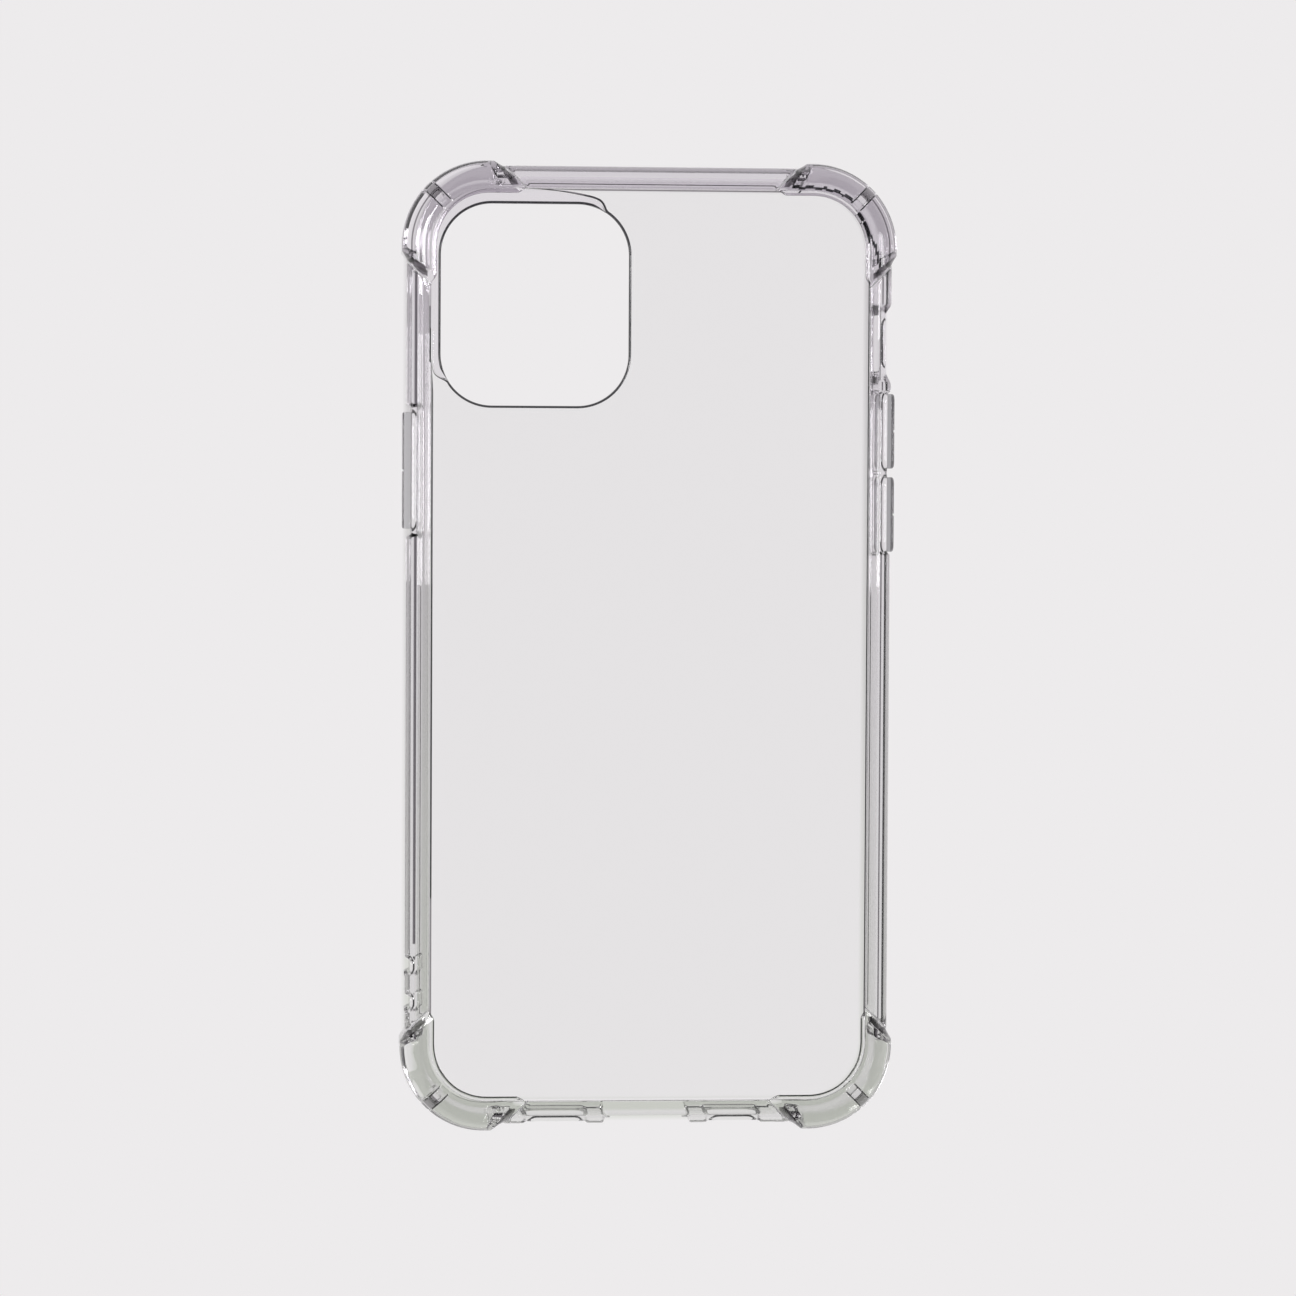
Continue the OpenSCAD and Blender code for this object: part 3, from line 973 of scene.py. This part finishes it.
def clear_material(name, tints, rough, wave, ior, volume=None, clear=1.0, along="Y"):
    """Clear moulded plastic: a tint that shifts along an axis, painted for the colour and shade of
    the surrounding light, soft flow waves, and faint handling haze.

    tints are the colours at the low and the high end along an axis, rough is the lowest and
    the highest roughness, and volume is the colour and density of what the plastic absorbs.
    """
    mat, tree, out = new_material(name)
    nodes, links = tree.nodes, tree.links
    place = nodes.new("ShaderNodeNewGeometry").outputs["Position"]
    half = (HALF_L if along == "Y" else HALF_W) * MM
    painted_tint_shift = map_range(tree, axis_value(tree, place, along), -half, half)
    haze = map_range(tree, noise(tree, place, 420.0, 4.0), 0.35, 0.75, rough)

    bump = nodes.new("ShaderNodeBump")
    bump.inputs["Strength"].default_value = wave
    bump.inputs["Distance"].default_value = 0.0001
    links.new(noise(tree, place, 90.0, 2.0), bump.inputs["Height"])

    shader = nodes.new("ShaderNodeBsdfPrincipled")
    shader.inputs["Transmission Weight"].default_value = clear
    shader.inputs["IOR"].default_value = ior
    links.new(mixed_colour(tree, painted_tint_shift, *tints), shader.inputs["Base Color"])
    links.new(haze, shader.inputs["Roughness"])
    links.new(bump.outputs["Normal"], shader.inputs["Normal"])
    links.new(shader.outputs["BSDF"], out.inputs["Surface"])

    if volume:
        absorption = nodes.new("ShaderNodeVolumeAbsorption")
        absorption.inputs["Color"].default_value = (*volume[0], 1)
        absorption.inputs["Density"].default_value = volume[1]
        links.new(absorption.outputs["Volume"], out.inputs["Volume"])
    return mat


SOFT_IOR, HARD_IOR = 1.49, 1.5
SOFT_VOLUME = ((0.80, 0.79, 0.805), 220.0)
PAD_VOLUME = ((0.72, 0.72, 0.74), 160.0)

# Greenish towards the bottom and lilac towards the top: a painted tint of the surrounding light
soft_clear = clear_material(
    "soft_clear", ((0.95, 0.96, 0.94), (0.95, 0.93, 0.96)), (0.0, 0.03), 0.18, SOFT_IOR,
    SOFT_VOLUME,
)
hard_clear = clear_material(
    "hard_clear", ((0.998, 0.998, 0.998), (0.998, 0.996, 0.998)), (0.0, 0.012), 0.03, HARD_IOR,
)
# Near-black clear: painted shade for the dark lines along cut and rounded edges, round the cutout
# and the panel's border
painted_dark_edge = clear_material(
    "painted_dark_edge", ((0.008, 0.008, 0.008), (0.006, 0.006, 0.007)), (0.05, 0.15), 0.1, HARD_IOR,
)
# Dark clear: painted shade on the bumpers' oblique facets
facet_painted_shade = clear_material(
    "facet_painted_shade", ((0.21, 0.21, 0.205), (0.19, 0.18, 0.19)), (0.02, 0.08), 0.3, SOFT_IOR,
    SOFT_VOLUME,
)
# Dark clear: painted shade on narrow faces of the frame, on the pads' rounded edges and on the
# panel's faint border
painted_shade_clear = clear_material(
    "painted_shade_clear", ((0.28, 0.28, 0.275), (0.28, 0.27, 0.28)), (0.02, 0.08), 0.2, SOFT_IOR,
    SOFT_VOLUME,
)
# White half-clear: painted highlight along the crease at the foot of each oblique facet
painted_highlight_crease = clear_material(
    "painted_highlight_crease", ((1.0, 1.0, 1.0), (1.0, 1.0, 1.0)), (0.3, 0.5), 0.3, SOFT_IOR,
    SOFT_VOLUME, clear=0.5,
)
# Lighter on the left pad and darker on the right pads: painted shade of how the light falls
pad_clear = clear_material(
    "pad_clear", ((0.92, 0.92, 0.93), (0.55, 0.55, 0.56)), (0.04, 0.12), 0.3, SOFT_IOR,
    PAD_VOLUME, along="X",
)

# A face whose normal is closer to vertical than this counts as flat
FLAT = 0.996
# The panel's painted dark border line is fainter beside the strap's end of the left rail, below
# this y
FAINT_BELOW = -38
PANEL_PLAIN, PANEL_PAINTED_DARK, PANEL_PAINTED_FAINT = 0, 1, 2


def panel_finish_or_painted_border(face):
    """Clear panel with a painted dark line on its rounded border, plain where the bumpers lap over
    it.
    """
    at = face.center / MM
    lapped = abs(at.x) > CORNER_X - 5.0 and abs(at.y) > CORNER_Y - 5.0
    low_end = at.y < 1 - PLATE_BOTTOM
    if abs(face.normal.z) > FLAT or lapped or low_end:
        return PANEL_PLAIN
    beside_camera = at.y > PLATE_TOP - 1 and at.x > CAMERA_X
    beside_strap = at.x < 1 - PLATE_W and at.y < FAINT_BELOW
    return PANEL_PAINTED_FAINT if beside_camera or beside_strap else PANEL_PAINTED_DARK


for piece in webs:
    piece.data.materials.append(soft_clear)
for slot, finish_or_painted_light in enumerate((soft_clear, painted_dark_edge, facet_painted_shade, painted_highlight_crease, painted_shade_clear)):
    frame_piece.data.materials[slot] = finish_or_painted_light
# A painted dark line round the camera cutout's rounded rim
for face in frame_piece.data.polygons:
    at = face.center / MM
    painted_cutout_rim = at.z > PLATE_Z - 0.1 and abs(cutout_distance(at)) < 0.5
    if painted_cutout_rim and abs(face.normal.z) < FLAT:
        face.material_index = PAINTED_DARK_EDGE
# The pads' rounded edges get painted shade
for piece in pads:
    for finish_or_painted_light in (pad_clear, painted_shade_clear):
        piece.data.materials.append(finish_or_painted_light)
    for face in piece.data.polygons:
        painted_shade_edge = 0.3 < abs(face.normal.x) < 0.9
        face.material_index = 1 if painted_shade_edge else 0
for finish_or_painted_light in (hard_clear, painted_dark_edge, painted_shade_clear):
    panel.data.materials.append(finish_or_painted_light)
for face in panel.data.polygons:
    face.material_index = panel_finish_or_painted_border(face)

# ---------------------------------------------------------------- stage

PALE = (0.8469, 0.8308, 0.8388)
# Colours of the painted contact shadow under the case's wall, at the bottom and at the top
PAINTED_SHADOW_LOW, PAINTED_SHADOW_HIGH = (0.70, 0.71, 0.67), (0.60, 0.575, 0.60)


def vector_math(tree, kind, a, b=None):
    """Vector maths node; each input is a tuple or another node's output."""
    node = tree.nodes.new("ShaderNodeVectorMath")
    node.operation = kind
    for socket, value in zip(node.inputs, (a, b)):
        if isinstance(value, bpy.types.NodeSocket):
            tree.links.new(value, socket)
        elif value is not None:
            socket.default_value = value
    return node.outputs["Value" if kind == "LENGTH" else "Vector"]


def colour_ramp(tree, factor, stops):
    """Ramp through (position, colour) stops, the first and last of which are its ends."""
    node = tree.nodes.new("ShaderNodeValToRGB")
    elements = node.color_ramp.elements
    ends = (stops[0], stops[-1])
    for element, (position, colour) in zip(elements, ends):
        element.position, element.color = position, (*colour, 1)
    for position, colour in stops[1:-1]:
        elements.new(position).color = (*colour, 1)
    tree.links.new(factor, node.inputs["Fac"])
    return node.outputs["Color"]


def light_floor():
    """Pale glowing floor with a painted pool of light that dims outwards, and a painted contact
    shadow that hides under the case's wall.
    """
    bm = bmesh.new()
    bmesh.ops.create_circle(bm, cap_ends=True, radius=3.0, segments=64)
    mesh = bpy.data.meshes.new("floor")
    bm.to_mesh(mesh)
    bm.free()
    floor = link_object("floor", mesh)
    floor.location.z = -0.00005
    mat, tree, out = new_material("pale_floor")
    nodes, links = tree.nodes, tree.links
    place = nodes.new("ShaderNodeNewGeometry").outputs["Position"]
    # Painted pool of light: the floor glows brightest near the case and dims outwards
    painted_light_pool = map_range(
        tree, vector_math(tree, "LENGTH", place), 0.15, 0.6, (1.0, 0.35), "SMOOTHSTEP"
    )

    # distance from the corner's centre line, the same all round the case
    flat = vector_math(tree, "MULTIPLY", vector_math(tree, "ABSOLUTE", place), (1, 1, 0))
    past = vector_math(tree, "SUBTRACT", flat, (CORNER_X * MM, CORNER_Y * MM, 0))
    reach = vector_math(tree, "LENGTH", vector_math(tree, "MAXIMUM", past, (0, 0, 0)))
    across_wall = map_range(tree, reach, (FRAME_R - 5) * MM, (FRAME_R + 1) * MM)
    # Painted contact shadow: darker in a band under the case's wall, tinted from bottom to top
    dark, light = (0, 0, 0), (1, 1, 1)
    shade = colour_ramp(
        tree, across_wall, ((0.24, dark), (0.36, light), (0.76, light), (0.9, dark))
    )
    painted_tint_shift = map_range(tree, axis_value(tree, place, "Y"), -HALF_L * MM, HALF_L * MM)
    painted_shadow_colour = mixed_colour(tree, painted_tint_shift, PAINTED_SHADOW_LOW, PAINTED_SHADOW_HIGH)

    glow = nodes.new("ShaderNodeEmission")
    links.new(mixed_colour(tree, shade, PALE, painted_shadow_colour), glow.inputs["Color"])
    links.new(painted_light_pool, glow.inputs["Strength"])
    links.new(glow.outputs["Emission"], out.inputs["Surface"])
    floor.data.materials.append(mat)


def studio_world():
    """Dim surroundings, a little lighter low down than overhead."""
    world = bpy.data.worlds.new("studio")
    bpy.context.scene.world = world
    world.use_nodes = True
    tree = world.node_tree
    tree.nodes.clear()
    direction = tree.nodes.new("ShaderNodeTexCoord").outputs["Generated"]
    sky = colour_ramp(tree, axis_value(tree, direction, "Z"), (
        (0.0, (0.2, 0.2, 0.2)), (0.35, (0.10, 0.098, 0.104)),
        (0.8, (0.03, 0.03, 0.033)), (1.0, (0.02, 0.02, 0.022)),
    ))
    background = tree.nodes.new("ShaderNodeBackground")
    out = tree.nodes.new("ShaderNodeOutputWorld")
    tree.links.new(sky, background.inputs["Color"])
    tree.links.new(background.outputs["Background"], out.inputs["Surface"])


def stand(thing, axes, place):
    """Put an object at a place with its x, y and z axes along the three given vectors."""
    matrix = thing.matrix_world.copy()
    for i in range(3):
        for k in range(3):
            matrix[i][k] = axes[k][i]
        matrix[i][3] = place[i]
    thing.matrix_world = matrix


def softbox(name, place, size, glow, colour=(1, 0.99, 1)):
    """A lit panel facing the case; size is its reach along x and along y."""
    light = bpy.data.lights.new(name, "AREA")
    light.shape = "RECTANGLE"
    light.size, light.size_y = size
    light.energy = glow * math.pi * size[0] * size[1]
    light.color = colour
    facing = Vector(place).normalized()
    across = Vector((0, 1, 0)).cross(facing).normalized()
    stand(link_object(name, light), (across, facing.cross(across), facing), place)


light_floor()
studio_world()
softbox("corner_glint", (-0.2, 0.14, 0.6), (0.17, 0.12), 16)
softbox("left_fill", (-0.42, 0.03, 0.42), (0.28, 0.07), 6)
softbox("left_corner_fill", (-0.42, 0.13, 0.42), (0.16, 0.11), 13)
softbox("right_corner_fill", (0.46, 0.12, 0.46), (0.14, 0.11), 8)
softbox("right_fill", (0.48, 0.02, 0.42), (0.2, 0.05), 9)

# ---------------------------------------------------------------- camera

YAW, PITCH, ROLL = math.radians(4.6), math.radians(2.2), math.radians(0.3)
DISTANCE = 0.7
VIEW_WIDTH = 0.1993
SENSOR_WIDTH = 36.0

target = Vector((0.0001, -0.0001, 0.0055))
back = Vector((
    -math.sin(YAW) * math.cos(PITCH), math.sin(PITCH), math.cos(YAW) * math.cos(PITCH)
))
right = Vector((0, 1, 0)).cross(back).normalized()
up = back.cross(right)
tilted_right = right * math.cos(ROLL) + up * math.sin(ROLL)
tilted_up = up * math.cos(ROLL) - right * math.sin(ROLL)
camera_data = bpy.data.cameras.new("camera")
camera_data.sensor_width = SENSOR_WIDTH
camera_data.lens = SENSOR_WIDTH * DISTANCE / VIEW_WIDTH
camera_data.clip_start = 0.01
camera = link_object("camera", camera_data)
stand(camera, (tilted_right, tilted_up, back), target + back * DISTANCE)

scene = bpy.context.scene
scene.camera = camera
scene.view_settings.view_transform = "Standard"
scene.cycles.max_bounces = 24
scene.cycles.transmission_bounces = 20
scene.cycles.glossy_bounces = 8
scene.cycles.transparent_max_bounces = 16
